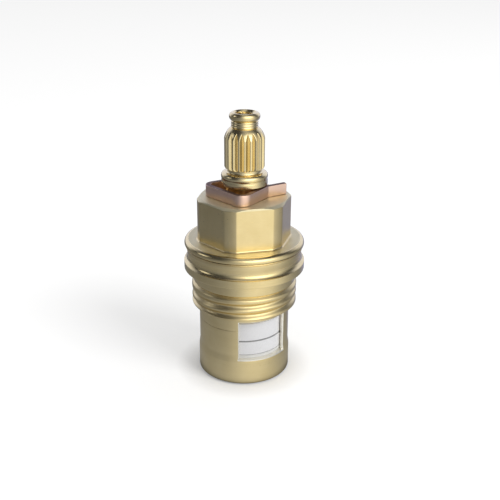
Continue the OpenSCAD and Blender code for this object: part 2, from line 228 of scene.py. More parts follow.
def rounded_path(corners, support=0.07):
    """Points along a line through corners (r, z, fillet), with the fillets as arcs.

    Each long stretch gets a support point near both of its ends, so that smooth
    shading stays flat between the fillets.
    """
    places = [np.array(corner[:2], float) for corner in corners]
    out = []
    for i, here in enumerate(places):
        fillet = corners[i][2]
        group = [here]
        if fillet > 0 and 0 < i < len(places) - 1:
            group = fillet_arc(places[i - 1], here, places[i + 1], fillet)
        if out:
            last = np.array(out[-1])
            step = group[0] - last
            length = float(np.linalg.norm(step))
            if length > 4 * support:
                out.append(tuple(last + step * support / length))
                out.append(tuple(group[0] - step * support / length))
        out.extend(tuple(point) for point in group)
    return out


class Turning:
    """A surface that goes round the axis, row by row, with a radius at each angle."""

    def __init__(self, angles):
        self.angles = np.asarray(angles, float)
        self.rows = []
        self.marks = []

    def add(self, r, z, mark):
        """One row: its radius, its height and the finish of the faces up to the next row."""
        n = len(self.angles)
        self.rows.append((np.broadcast_to(np.asarray(r, float), n).copy(),
                          np.broadcast_to(np.asarray(z, float), n).copy()))
        self.marks.append(mark)

    def path(self, points, mark):
        for r, z in points:
            self.add(r, z, mark)

    def mesh(self, name, closed=True):
        """The mesh of all rows: a ring, or else a body with its two ends filled."""
        n = len(self.angles)
        rows = len(self.rows)
        radius = np.array([row[0] for row in self.rows])
        height = np.array([row[1] for row in self.rows])
        points = np.stack([radius * np.cos(self.angles), radius * np.sin(self.angles), height], -1)
        points = points.reshape(-1, 3) * MM
        i = np.arange(rows if closed else rows - 1)[:, None]
        j = np.arange(n)[None, :]
        i1, j1 = (i + 1) % rows, (j + 1) % n
        faces = np.stack([i * n + j, i * n + j1, i1 * n + j1, i1 * n + j], -1).reshape(-1, 4)
        polygons = faces.tolist()
        marks = np.repeat(np.array(self.marks)[i[:, 0]], n).tolist()
        if not closed:
            polygons.append(list(range(n))[::-1])
            polygons.append(list(range((rows - 1) * n, rows * n)))
            marks += [self.marks[0], self.marks[-1]]
        mesh = bpy.data.meshes.new(name)
        mesh.from_pydata(points.tolist(), [], polygons)
        mesh.polygons.foreach_set("material_index", marks)
        mesh.update()
        return mesh


def add_object(name, data):
    obj = bpy.data.objects.new(name, data)
    bpy.context.scene.collection.objects.link(obj)
    return obj


def shade(obj, degrees):
    """Smooth shading, with edges sharper than the angle kept sharp."""
    obj.data.shade_smooth()
    obj.data.set_sharp_from_angle(angle=math.radians(degrees))


def combine(obj, others, operation):
    """Joins obj with each of the others in turn, or cuts it by them, and removes them."""
    for other in others:
        modifier = obj.modifiers.new("combine", "BOOLEAN")
        modifier.operation = operation
        modifier.object = other
        modifier.solver = "MANIFOLD"
        bpy.context.view_layer.update()
        result = bpy.data.meshes.new_from_object(
            obj.evaluated_get(bpy.context.evaluated_depsgraph_get()))
        old, used = obj.data, other.data
        obj.modifiers.clear()
        obj.data = result
        bpy.data.meshes.remove(old)
        bpy.data.objects.remove(other)
        bpy.data.meshes.remove(used)


def turned_about_axis(points, turn):
    """Points (x, y, z) in millimetres, turned about the axis and given in metres."""
    c, s = math.cos(turn), math.sin(turn)
    return [((x * c - y * s) * MM, (x * s + y * c) * MM, z * MM) for x, y, z in points]


def prism(name, outline, z0, z1):
    """A closed prism on an outline of (x, y) points that run anticlockwise."""
    n = len(outline)
    points = [(x * MM, y * MM, z0 * MM) for x, y in outline]
    points += [(x * MM, y * MM, z1 * MM) for x, y in outline]
    faces = [list(range(n))[::-1], list(range(n, 2 * n))]
    faces += [[i, (i + 1) % n, n + (i + 1) % n, n + i] for i in range(n)]
    mesh = bpy.data.meshes.new(name)
    mesh.from_pydata(points, [], faces)
    return add_object(name, mesh)


def ring_outline(r_in, r_out, middle, half, steps=10):
    """Outline of part of a ring, in degrees about the direction middle."""
    angles = [math.radians(middle - half + 2 * half * i / steps) for i in range(steps + 1)]
    outer = [(r_out * math.cos(a), r_out * math.sin(a)) for a in angles]
    inner = [(r_in * math.cos(a), r_in * math.sin(a)) for a in angles]
    return outer + inner[::-1]


def angle_set(count, extra):
    """Angles round the turn: evenly spread ones, and extra ones where edges run."""
    angles = sorted([TAU * i / count for i in range(count)] + [a % TAU for a in extra])
    kept = [angles[0]]
    for a in angles[1:]:
        if a - kept[-1] > math.radians(0.02):
            kept.append(a)
    return np.array(kept)


# materials

class Tree:
    """Short names for building a node tree."""

    def __init__(self, tree):
        self.tree = tree
        tree.nodes.clear()

    def node(self, kind, **values):
        """A new node, with values for its properties and for its named inputs."""
        node = self.tree.nodes.new(kind)
        for key, value in values.items():
            if hasattr(node, key) and key not in node.inputs:
                setattr(node, key, value)
            else:
                node.inputs[key].default_value = value
        return node

    def link(self, output, target):
        self.tree.links.new(output, target)

    def math(self, operation, a, b=0.0):
        node = self.tree.nodes.new("ShaderNodeMath")
        node.operation = operation
        for socket, value in zip(node.inputs, (a, b)):
            if isinstance(value, (int, float)):
                socket.default_value = value
            else:
                self.link(value, socket)
        return node.outputs[0]

    def mix(self, factor, a, b):
        """Colour a where the factor is 0 and b where it is 1."""
        node = self.tree.nodes.new("ShaderNodeMix")
        node.data_type = "RGBA"
        for socket, value in ((node.inputs[0], factor), (node.inputs[6], a), (node.inputs[7], b)):
            if isinstance(value, bpy.types.NodeSocket):
                self.link(value, socket)
            else:
                socket.default_value = (*value, 1)
        return node.outputs[2]

    def ramp(self, value, low, high, out_low=0.0, out_high=1.0, smooth=False):
        """A value carried from one range to another, and held at both ends."""
        node = self.tree.nodes.new("ShaderNodeMapRange")
        node.interpolation_type = "SMOOTHSTEP" if smooth else "LINEAR"
        self.link(value, node.inputs[0])
        for i, number in enumerate((low, high, out_low, out_high)):
            node.inputs[i + 1].default_value = number
        return node.outputs[0]

    def parts(self, vector):
        """The three numbers of a vector."""
        node = self.tree.nodes.new("ShaderNodeSeparateXYZ")
        self.link(vector, node.inputs[0])
        return node.outputs

    def scaled(self, vector, factors):
        node = self.node("ShaderNodeVectorMath", operation="MULTIPLY")
        node.inputs[1].default_value = factors
        self.link(vector, node.inputs[0])
        return node.outputs[0]

    def length(self, vector):
        node = self.node("ShaderNodeVectorMath", operation="LENGTH")
        self.link(vector, node.inputs[0])
        return node.outputs["Value"]

    def noise(self, vector, scale, detail=3.0, rough=0.5):
        node = self.node("ShaderNodeTexNoise", Scale=scale, Detail=detail, Roughness=rough)
        self.link(vector, node.inputs["Vector"])
        return node.outputs["Fac"]


def new_material(name):
    """A material, and short names for its empty node tree."""
    material = bpy.data.materials.new(name)
    material.use_nodes = True
    return material, Tree(material.node_tree)


def millimetres(t):
    """The place on the piece, in millimetres."""
    return t.scaled(t.node("ShaderNodeTexCoord").outputs["Object"], (1 / MM, 1 / MM, 1 / MM))


def round_the_axis(t, place):
    """Distance from the axis and height, so that marks run round a turned surface."""
    ring = t.node("ShaderNodeCombineXYZ")
    t.link(t.length(t.scaled(place, (1, 1, 0))), ring.inputs[0])
    t.link(t.parts(place)[2], ring.inputs[2])
    return ring.outputs[0]


def finish_surface(t, shader, height, strength):
    """Fine relief from a height, and the shader to the output."""
    bump = t.node("ShaderNodeBump", Strength=strength, Distance=0.03 * MM)
    t.link(height, bump.inputs["Height"])
    t.link(bump.outputs[0], shader.inputs["Normal"])
    out = t.node("ShaderNodeOutputMaterial")
    t.link(shader.outputs[0], out.inputs[0])


def metal(name, colour, dull, roughness, marks="turned", mark_depth=0.25, mark_scale=5.0,
          painted_level_shade=None):
    """Metal with fine tool marks, and cloudy variation in colour and in gloss.

    Where a colour is given for the level faces, they have it, as a painted dark reflection, and are
    rougher.
    """
    material, t = new_material(name)
    place = millimetres(t)
    lines = round_the_axis(t, place) if marks == "turned" else t.scaled(place, (0.25, 0.25, 3.0))
    fine = t.noise(lines, mark_scale, 4.0, 0.6)
    cloud = t.noise(place, 0.35)
    speck = t.noise(place, 7.0, 2.0)
    tone = t.math("ADD", t.ramp(cloud, 0.35, 0.7, 0, 0.6), t.ramp(fine, 0.3, 0.75, 0, 0.4))
    base = t.mix(tone, colour, dull)
    gloss = t.math("ADD", t.ramp(fine, 0.3, 0.7, roughness - 0.04, roughness + 0.05),
                   t.ramp(speck, 0.4, 0.7, -0.02, 0.03))
    if painted_level_shade:
        # the level faces take the given colour: a painted dark reflection
        normal = t.node("ShaderNodeNewGeometry").outputs["True Normal"]
        level = t.ramp(t.math("ABSOLUTE", t.parts(normal)[2]), 0.75, 0.95)
        base = t.mix(level, base, painted_level_shade)
        gloss = t.math("ADD", gloss, t.math("MULTIPLY", level, 0.15))
    shader = t.node("ShaderNodeBsdfPrincipled", Metallic=1.0)
    t.link(base, shader.inputs["Base Color"])
    t.link(gloss, shader.inputs["Roughness"])
    finish_surface(t, shader, fine, mark_depth)
    return material


def plain_material(name, colour, other, roughness, scale, bump_depth, specular=0.5, joints=()):
    """Ceramic, plastic or rubber with fine grain in colour, gloss and relief.

    Each joint is the height of a line where two pieces meet and the grey that it darkens to, as
    painted shade for the gap between them.
    """
    material, t = new_material(name)
    place = millimetres(t)
    grain = t.noise(place, scale, 4.0, 0.6)
    cloud = t.noise(place, 0.5, 2.0)
    tone = t.math("ADD", t.ramp(grain, 0.35, 0.7, 0, 0.5), t.ramp(cloud, 0.35, 0.7, 0, 0.5))
    base = t.mix(tone, colour, other)
    # painted shade: a grey band along each joint between two pieces
    for height, grey in joints:
        off = t.math("ABSOLUTE", t.math("SUBTRACT", t.parts(place)[2], height))
        base = t.mix(t.ramp(off, 0.1, 0.18, 1.0, 0.0), base, (grey, grey, grey))
    shader = t.node("ShaderNodeBsdfPrincipled", **{"Specular IOR Level": specular})
    t.link(base, shader.inputs["Base Color"])
    t.link(t.ramp(grain, 0.3, 0.7, roughness - 0.05, roughness + 0.06), shader.inputs["Roughness"])
    finish_surface(t, shader, grain, bump_depth)
    return material


def give(obj, *materials):
    """Fills the slots one by one: to clear them would also reset the faces' numbers."""
    slots = obj.data.materials
    for number, material in enumerate(materials):
        if number < len(slots):
            slots[number] = material
        else:
            slots.append(material)


BRASS = (0.87, 0.71, 0.39)
BRASS_DULL = (0.79, 0.63, 0.32)
turned_brass = metal("turned_brass", BRASS, BRASS_DULL, 0.22)
satin_brass = metal("satin_brass", BRASS, BRASS_DULL, 0.32)
milled_brass = metal("milled_brass", BRASS, BRASS_DULL, 0.32, "milled", 0.12, 4.0)
# painted highlight: a paler copy of brass for the level top faces, as lit from above
faced_lit_brass = metal("faced_lit_brass", (0.96, 0.87, 0.60), (0.90, 0.80, 0.52), 0.54)
# painted highlight: a nearly white copy of brass for the window's cut faces, its sill and jambs
cut_lit_brass = metal("cut_lit_brass", (1.0, 0.97, 0.89), (0.98, 0.94, 0.84), 0.5, "milled", 0.1, 4.0)
bored_brass = metal("bored_brass", (0.72, 0.57, 0.30), (0.62, 0.48, 0.24), 0.36)
stem_brass = metal("stem_brass", (0.88, 0.73, 0.42), (0.80, 0.64, 0.33), 0.2, "turned", 0.2, 6.0)
# the clip's level faces are dark brown: a painted dark reflection
bronze = metal("clip_bronze", (0.93, 0.67, 0.54), (0.84, 0.58, 0.46), 0.36, "milled", 0.12, 3.0,
               (0.22, 0.13, 0.10))
# painted shade for the gap between the two discs and at the lower edge of the fixed disc
disc_joint_shade = ((Z_MOVING - FACE_GAP / 2, 0.38), (Z_DISC, 0.4))
ceramic = plain_material("alumina", (0.95, 0.95, 0.965), (0.92, 0.92, 0.94), 0.28, 6.0, 0.08, 0.6,
                         disc_joint_shade)
plastic = plain_material("acetal", (0.86, 0.86, 0.84), (0.82, 0.82, 0.80), 0.42, 5.0, 0.1)
o_ring_rubber = plain_material("nitrile", (0.035, 0.035, 0.037), (0.02, 0.02, 0.02), 0.32, 5.0, 0.2)
seal_rubber = plain_material("seal_rubber", (0.05, 0.05, 0.052), (0.03, 0.03, 0.03), 0.55, 6.0, 0.3)


# the brass body, and the numbers of its finishes; the faced and cut ones are paler copies of brass,
# a painted highlight

BODY_FINISHES = (turned_brass, milled_brass, bored_brass, satin_brass, faced_lit_brass, cut_lit_brass)
TURNED, MILLED, BORED, SATIN, FACED_LIT, CUT_LIT = range(6)


def thread_radius(angle, z, limit):
    """The right-hand helix of the thread, which starts and ends in a full ring."""
    turns = (z - Z_CREST) / THREAD_PITCH - (angle - VIEW_ANGLE) / TAU
    dip = 0.5 - 0.5 * np.cos(TAU * turns)
    radius = THREAD_R - THREAD_DEPTH * dip ** THREAD_POWER
    for past in (z - Z_THREAD - END_RING_H, Z_CREST - 0.2 - z):
        radius = smooth_max(radius, THREAD_R - END_RING_SLOPE * np.maximum(0, past), 0.1)
    return smooth_min(radius, limit, 0.08)


def hex_radius(angle, z):
    """The hexagon with turned corners and a cone at its top."""
    off = (angle - HEX_TURN + math.pi / 6) % (math.pi / 3) - math.pi / 6
    radius = smooth_min(HEX_FLAT / np.cos(off), HEX_CORNER_R, 0.04)
    slope = (HEX_CORNER_R - HEX_RIM_R) / HEX_CHAMFER
    cone = HEX_CORNER_R - (z - (Z_TOP - HEX_CHAMFER)) * slope
    return smooth_min(radius, cone, 0.05)


def add_cage(t):
    """The outside of the cage, from the foot ring up to the thread."""
    t.path(rounded_path([
        (BORE_R + 0.2, Z_FOOT, 0), (FOOT_R, Z_FOOT, 0.25), (FOOT_R, Z_SILL - 0.5, 3.0),
        (CAGE_R, Z_SILL + 0.9, 3.0), (CAGE_R, Z_SEAM - SEAM_HALF, 0),
        (CAGE_R - SEAM_DEPTH, Z_SEAM, 0), (CAGE_R, Z_SEAM + SEAM_HALF, 0),
        (CAGE_R, Z_THREAD, 0.15), (THREAD_FOOT_R, Z_THREAD, 0)]), SATIN)


def add_thread(t):
    """The thread, cut back by a lead cone below and by the edge of the wall above."""
    lead_r = THREAD_R - THREAD_LEAD
    start = thread_radius(t.angles, Z_THREAD, lead_r)
    for share in (0.5, 1):
        t.add(THREAD_FOOT_R + (start - THREAD_FOOT_R) * share, Z_THREAD, TURNED)
    for z in np.arange(Z_THREAD + 0.05, Z_WALL - 0.001, THREAD_ROW):
        lower = lead_r + z - Z_THREAD
        upper = WALL_R - WALL_EDGE + Z_WALL - z
        t.add(thread_radius(t.angles, z, smooth_min(lower, upper, 0.05)), z, SATIN)


def add_flanges(t):
    """The wall above the thread, the seat flange, the hollow and the bead flange."""
    t.path(rounded_path([
        (WALL_R - WALL_EDGE, Z_WALL, 0), (WALL_R, Z_WALL + 0.3, 0.3), (WALL_R, Z_SEAT, 0.4),
        (SEAT_R, Z_SEAT, 0.12), (SEAT_R, Z_HOLLOW, 0)])[:-1], TURNED)
    # the hollow: an arc below, then a long soft curve that turns under the bead
    deep, under = SEAT_R - HOLLOW_DEPTH, BEAD_R - UNDERCUT
    for angle in np.linspace(-HOLLOW_ARC, 0, 13):
        run = (1 - math.cos(angle)) / (1 - math.cos(HOLLOW_ARC))
        rise = math.sin(angle) / math.sin(HOLLOW_ARC)
        t.add(deep + HOLLOW_DEPTH * run, Z_DEEP + (Z_DEEP - Z_HOLLOW) * rise, TURNED)
    for share in np.linspace(0.06, 1, 15):
        swing = 0.5 - 0.5 * math.cos(math.pi * share)
        t.add(deep + (under - deep) * swing, Z_DEEP + (Z_BEAD - Z_DEEP) * share, SATIN)
    # the bead, with a fine crease under it
    t.path(rounded_path([
        (under, Z_BEAD + 0.05, 0), (BEAD_R - 0.1, Z_CREASE - CREASE_HALF, 0.15),
        (BEAD_R - CREASE_DEPTH, Z_CREASE, 0.04), (BEAD_R, Z_CREASE + CREASE_HALF, 0.4),
        (BEAD_R, Z_HEX, RIM_ROUND - 0.02), (BEAD_R - RIM_ROUND, Z_HEX, 0)]), TURNED)


def add_hexagon(t):
    """The top of the bead flange, the hexagon with a fillet at its foot, and its top."""
    edge = BEAD_R - RIM_ROUND
    wall = hex_radius(t.angles, Z_HEX)
    # the flange top and the hexagon's chamfer and top take the paler brass, a painted highlight
    for share in (0, 0.3, 0.65, 0.97):
        t.add(edge + (wall + HEX_FILLET - edge) * share, Z_HEX, FACED_LIT)
    for angle in np.linspace(0, math.pi / 2, 8):
        t.add(wall + HEX_FILLET * (1 - math.sin(angle)),
              Z_HEX + HEX_FILLET * (1 - math.cos(angle)), MILLED)
    for z in np.concatenate([np.linspace(Z_HEX + 0.5, Z_TOP - 1.1, 14),
                             np.linspace(Z_TOP - 0.9, Z_TOP - 0.05, 24)]):
        t.add(hex_radius(t.angles, z), z, MILLED if z < Z_TOP - HEX_CHAMFER else FACED_LIT)
    rim = hex_radius(t.angles, Z_TOP - 0.05)
    for inset, drop in ((0.03, 0.015), (0.08, 0), (0.16, 0)):
        t.add(rim - inset, Z_TOP - drop, FACED_LIT)
    t.add(STEM_BORE_R + 0.5, Z_TOP, FACED_LIT)


def add_bore(t):
    """The bore, from the top of the hexagon down to the foot."""
    t.path(rounded_path([
        (STEM_BORE_R + 0.2, Z_TOP, 0), (STEM_BORE_R, Z_TOP - 0.2, 0),
        (STEM_BORE_R, Z_SHOULDER, 0), (BORE_R, Z_SHOULDER, 0), (BORE_R, Z_FOOT + 0.2, 0)]), BORED)


def window_cutter(turn):
    """A block shaped to the window, flared so that it leaves a fine chamfer outside.

    Its layers go outwards, each with a radius, its flare at the sides and the top, and its
    flare at the sill, which stays straight through the cage.
    """
    steps = 24
    layers = [(WINDOW_IN_R, 0, 0), (CAGE_R - WINDOW_CHAMFER, 0, 0),
              (FOOT_R - WINDOW_CHAMFER, 0.25, 0),
              (WINDOW_OUT_R, 1.15 + WINDOW_CHAMFER, WINDOW_OUT_R - FOOT_R + WINDOW_CHAMFER)]
    points, faces = [], []
    for radius, flare, sill_flare in layers:
        half = WINDOW_W / 2 + flare
        xs = np.linspace(-half, half, steps + 1)
        loop = [(x, Z_SILL - sill_flare) for x in xs]
        loop += [(x, Z_WINDOW_TOP + flare) for x in xs[::-1]]
        points += [(x, -math.sqrt(radius * radius - x * x), z) for x, z in loop]
    n = 2 * (steps + 1)
    for k in range(len(layers) - 1):
        for i in range(n):
            j = (i + 1) % n
            faces.append([k * n + i, k * n + j, (k + 1) * n + j, (k + 1) * n + i])
    last = (len(layers) - 1) * n
    for i in range(steps):
        faces.append([i, i + 1, n - 2 - i, n - 1 - i][::-1])
        faces.append([last + i, last + i + 1, last + n - 2 - i, last + n - 1 - i])
    mesh = bpy.data.meshes.new("window")
    mesh.from_pydata(turned_about_axis(points, turn), [], faces)
    # the window's faces take the nearly white brass, a painted highlight
    mesh.polygons.foreach_set("material_index", [CUT_LIT] * len(faces))
    window = add_object("window", mesh)
    give(window, *BODY_FINISHES)
    return window


def build_body():
    """Hexagon, flanges, thread and windowed cage, with the disc's ribs and the stops inside."""
    corner_turns = [HEX_TURN + math.radians(60 * k + side * (HEX_CORNER_EDGE + d))
                    for k in range(6) for side in (-1, 1) for d in (-0.6, -0.3, 0, 0.3, 0.6)]
    t = Turning(angle_set(400, corner_turns))
    for add_rows in (add_cage, add_thread, add_flanges, add_hexagon, add_bore):
        add_rows(t)
    body = add_object("brass_body", t.mesh("brass_body"))
    give(body, *BODY_FINISHES)
    combine(body, [window_cutter(0), window_cutter(math.pi)], "DIFFERENCE")
    seat = BORE_R + 0.3
    ribs = [prism("rib", ring_outline(BORE_R - 0.8, seat, side, RIB_HALF),
                  Z_DISC, Z_DISC + FIXED_DISC_T) for side in (0, 180)]
    stops = [prism("stop", ring_outline(DRIVE_CORE_R + STOP_CLEAR, seat, side + 45, STOP_HALF),
                   Z_FLANGE + FACE_GAP, Z_FLANGE_TOP) for side in (0, 180)]
    combine(body, ribs + stops, "UNION")
    shade(body, 32)
    return body


# the spindle, and the numbers of its finishes

SPINDLE_FINISHES = (stem_brass, bored_brass)
BRIGHT, INSIDE = range(2)


def spline_radius(angle, turned):
    """The turned radius, cut by the V grooves of the spline."""
    pitch = TAU / TEETH
    off = np.abs((angle - SPLINE_TURN + pitch / 2) % pitch - pitch / 2)
    k = SPLINE_HALF / SPLINE_DEPTH
    groove = (SPLINE_R - SPLINE_DEPTH) * k / (k * np.cos(off) - np.sin(off))
    return smooth_min(groove, turned, 0.03)


def dome_points(count):
    """The domed shoulder: one arc that leaves the spline with a lean."""
    drop, height = SPLINE_R - DOME_TOP_R, Z_TIP_NECK - Z_DOME
    cos_lean, sin_lean = math.cos(DOME_LEAN), math.sin(DOME_LEAN)
    rho = (drop ** 2 + height ** 2) / (2 * (drop * cos_lean - height * sin_lean))
    top = math.asin(sin_lean + height / rho)
    cx, cz = SPLINE_R - rho * cos_lean, Z_DOME - rho * sin_lean
    return [(cx + rho * math.cos(a), cz + rho * math.sin(a))
            for a in np.linspace(DOME_LEAN, top, count)]


def add_drive(t):
    """The drive flange with its two stop lobes, inside the cage."""
    degrees = np.degrees(t.angles)
    from_side = np.minimum(np.abs((degrees - 90 + 180) % 360 - 180),
                           np.abs((degrees - 270 + 180) % 360 - 180))
    lobes = np.where(from_side < LOBE_HALF, LOBE_R, DRIVE_CORE_R)
    t.add(0.4, Z_FLANGE, INSIDE)
    t.add(STEM_R, Z_FLANGE, INSIDE)
    t.add(lobes - DRIVE_EDGE, Z_FLANGE, INSIDE)
    t.add(lobes, Z_FLANGE + DRIVE_EDGE, INSIDE)
    t.add(lobes, Z_FLANGE_TOP - DRIVE_EDGE, INSIDE)
    t.add(lobes - DRIVE_EDGE, Z_FLANGE_TOP, INSIDE)


def add_stem(t):
    """The stem with its two O-ring grooves, the clip's groove, and the waisted collar."""
    glands = []
    for z in GLAND_Z:
        low, high = z - GLAND_W / 2, z + GLAND_W / 2
        glands += [(STEM_R, low, 0.08), (GLAND_R, low, 0.15),
                   (GLAND_R, high, 0.15), (STEM_R, high, 0.08)]
    t.path(rounded_path([
        (STEM_R + 0.3, Z_FLANGE_TOP, 0), (STEM_R, Z_FLANGE_TOP, 0.15), *glands,
        (STEM_R, Z_TOP, 0.12), (CLIP_GROOVE_R, Z_TOP, 0.08), (CLIP_GROOVE_R, Z_COLLAR, 0.1),
        (STEM_R - 0.03, Z_COLLAR, 0.25), (STEM_R - 0.03, Z_WAIST - 0.4, 0.8),
        (STEM_R - WAIST_DEPTH, Z_WAIST, 0.8), (STEM_R, Z_WAIST + 0.4, 0.6),
        (STEM_R, Z_NECK, 0.65), (NECK_R, Z_NECK, 0.3), (NECK_R, Z_SPLINE, 0)]), BRIGHT)


def add_spline(t):
    """The spline with its lower chamfer, the dome above it and the grooves through both."""
    chamfer = [(NECK_R + 0.02, 0), (3.49, 0.01), (3.52, 0.03), (3.63, 0.08), (3.75, 0.17),
               (3.81, 0.24), (3.84, 0.31), (SPLINE_R, 0.4)]
    for r, rise in chamfer:
        t.add(spline_radius(t.angles, r), Z_SPLINE + rise, BRIGHT)
    for z in np.linspace(Z_SPLINE + 0.9, Z_DOME - 0.15, 9):
        t.add(spline_radius(t.angles, SPLINE_R), z, BRIGHT)
    for r, z in dome_points(34):
        t.add(spline_radius(t.angles, r), z, BRIGHT)


def add_tip(t):
    """The slim neck with its fine turned ridges, and the lip."""
    t.add(TIP_NECK_R + 0.08, Z_TIP_NECK + 0.01, BRIGHT)
    for z in np.arange(Z_TIP_NECK + 0.06, Z_LIP - 0.1, 0.045):
        ridge = 0.5 - 0.5 * math.cos(TAU * (z - Z_TIP_NECK - 0.05) / RIDGE_PITCH)
        t.add(TIP_NECK_R - 0.03 + RIDGE_H * ridge, z, BRIGHT)
    for angle in np.radians(np.linspace(-80, 90, 16)):
        t.add(LIP_R - LIP_ROUND_R + LIP_ROUND_R * math.cos(angle),
              Z_LIP + LIP_HALF_H + LIP_HALF_H * math.sin(angle), BRIGHT)


def add_hole(t):
    """The countersunk mouth and the tapped hole, right-hand M4."""
    t.add(MOUTH_R + 0.06, Z_END, BRIGHT)
    t.add(MOUTH_R, Z_END - 0.03, BRIGHT)
    for z in np.arange(Z_END - 0.1, Z_END - TAP_LENGTH, -0.07):
        turns = (z - Z_END) / TAP_PITCH - t.angles / TAU
        off = np.abs(turns - np.round(turns)) * TAP_PITCH
        cut = HOLE_R + np.maximum(0, TAP_DEPTH - off * TAP_SLOPE)
        mouth = MOUTH_R - (Z_END - 0.03 - z)
        t.add(smooth_max(cut, mouth, 0.04), z, BRIGHT)
    t.path([(HOLE_R, Z_END - TAP_LENGTH - 0.2), (HOLE_R, Z_END - HOLE_DEPTH + 0.5),
            (0.1, Z_END - HOLE_DEPTH)], BRIGHT)


def build_spindle():
    lobe_edges = [math.radians(side + s * LOBE_HALF + d)
                  for side in (90, 270) for s in (-1, 1) for d in (-0.1, 0.1)]
    t = Turning(angle_set(480, lobe_edges))
    for add_rows in (add_drive, add_stem, add_spline, add_tip, add_hole):
        add_rows(t)
    spindle = add_object("splined_spindle", t.mesh("splined_spindle", closed=False))
    near, far = TAB_Y
    tabs = []
    for side in (1, -1):
        outline = [(-TAB_HALF, near), (TAB_HALF, near), (TAB_HALF, far), (-TAB_HALF, far)]
        outline = [(x * side, y * side) for x, y in outline]
        tabs.append(prism("tab", outline, Z_FLANGE - TAB_H, Z_FLANGE + 0.4))
    combine(spindle, tabs, "UNION")
    shade(spindle, 32)
    give(spindle, *SPINDLE_FINISHES)
    return spindle


# the clip

def clip_path():
    """Middle line of the bent strip, as (x, y) with its normal, from one end to the other."""
    half_t = CLIP_T / 2
    leg_out = CLIP_GROOVE_R + CLIP_GRIP + CLIP_T
    cx = CLIP_CORNER_R - CLIP_BACK
    cy = (leg_out - CLIP_CORNER_R - math.sin(CLIP_LEAN) * cx) / math.cos(CLIP_LEAN)
    bend_y = (leg_out - math.sin(CLIP_LEAN) * CLIP_BEND) / math.cos(CLIP_LEAN)
    mid = CLIP_CORNER_R - half_t
    leg = math.pi / 2 - CLIP_LEAN
    arm = leg + CLIP_LEAN + CLIP_SPLAY
    half = []

    def put(x, y, normal):
        half.append((x, y, math.cos(normal), math.sin(normal)))

    for y in (0, cy * 0.5, cy * 0.9):
        put(-CLIP_BACK + half_t, y, math.pi)
    for i in range(13):
        angle = math.pi + (leg - math.pi) * i / 12
        put(cx + mid * math.cos(angle), cy + mid * math.sin(angle), angle)
    start_x, start_y = half[-1][:2]
    end_x, end_y = CLIP_BEND - math.cos(leg) * half_t, bend_y - math.sin(leg) * half_t
    for share in (0.08, 0.5, 0.92):
        put(start_x + (end_x - start_x) * share, start_y + (end_y - start_y) * share, leg)
    for i in range(6):
        angle = leg + (arm - leg) * i / 5
        put(CLIP_BEND - math.cos(angle) * half_t, bend_y - math.sin(angle) * half_t, angle)
    start_x, start_y = half[-1][:2]
    for share in (0.06, 0.5, 0.94, 1):
        run = CLIP_ARM * share
        put(start_x + math.sin(arm) * run, start_y - math.cos(arm) * run, arm)
    other = [(x, -y, nx, -ny) for x, y, nx, ny in half[:0:-1]]
    return other + half


def strip_section(half_t, half_h, edge, steps=3):
    """Rounded rectangle across the strip, as (across, up) points."""
    points = []
    for sx, sy, start in ((1, -1, -90), (1, 1, 0), (-1, 1, 90), (-1, -1, 180)):
        for i in range(steps + 1):
            angle = math.radians(start + 90 * i / steps)
            points.append((sx * (half_t - edge) + edge * math.cos(angle),
                           sy * (half_h - edge) + edge * math.sin(angle)))
    return points


def clip_rows():
    """The strip's section at each station, with both ends rounded over a short length."""
    stations = clip_path()
    half_t, half_h = CLIP_T / 2, CLIP_H / 2
    section = strip_section(half_t, half_h, CLIP_EDGE)
    small = [(p * (1 - CLIP_END / half_t), q * (1 - CLIP_END / half_h)) for p, q in section]
    middle = Z_CLIP + half_h

    def row(x, y, nx, ny, outline):
        return [(x + nx * p, y + ny * p, middle + q) for p, q in outline]

    rows = [row(*station, section) for station in stations]
    for end, inner, place in ((0, 1, 1), (-1, -2, len(rows))):
        x, y, nx, ny = stations[end]
        x1, y1 = stations[inner][:2]
        share = CLIP_END / math.hypot(x1 - x, y1 - y)
        rows[end] = row(x, y, nx, ny, small)
        rows.insert(place, row(x + (x1 - x) * share, y + (y1 - y) * share, nx, ny, section))
    return rows


def build_clip():
    rows = clip_rows()
    n = len(rows[0])
    points = turned_about_axis([point for row in rows for point in row], CLIP_TURN)
    faces = []
    for k in range(len(rows) - 1):
        for i in range(n):
            j = (i + 1) % n
            faces.append([k * n + i, (k + 1) * n + i, (k + 1) * n + j, k * n + j])
    faces.append(list(range(n)))
    faces.append([(len(rows) - 1) * n + i for i in range(n)][::-1])
    mesh = bpy.data.meshes.new("bent_clip")
    mesh.from_pydata(points, [], faces)
    clip = add_object("bent_clip", mesh)
    shade(clip, 35)
    give(clip, bronze)
    return clip


# floor and surroundings; angles are level ones, from the camera's side to its right

STUDIO_COOL = (0.93, 1.0, 1.2)
STUDIO_WARM = (1.0, 1.0, 0.95)
# the brightest side, and brightness there against the cosine of the angle from that side:
# near the foot, further out and low down, and high up
NEAR_SIDE, FAR_SIDE, HIGH_SIDE = 18, 34, 30
NEAR_STOPS = ((-1.0, 0.30), (-0.2, 0.32), (0.24, 0.36), (0.6, 0.44), (0.86, 0.61), (1.0, 0.78))
FAR_STOPS = ((-1.0, 0.18), (-0.34, 0.18), (0.17, 0.23), (0.4, 0.30), (0.64, 0.45), (0.82, 0.76),
             (0.94, 1.02), (1.0, 1.1))
HIGH_STOPS = ((-1.0, 0.04), (-0.3, 0.04), (0.35, 0.08), (0.6, 0.35), (0.82, 1.0), (1.0, 2.5))
NEAR_REACH, FAR_REACH = 15.0, 80.0
BEHIND_SIDE = 165
BEHIND = (0.34, 0.37, 0.58)
FLOOR_GLOW = ((10.0, 0.50), (70.0, 0.60))
AMBIENT = (0.36, 0.36, 0.36)
WHITE = (1, 1, 1)
SKY_TOP = (0.26, 0.27, 0.30)
SKY_TOP_DIM = (0.06, 0.06, 0.07)
ZENITH = (0.62, 0.64, 0.70)
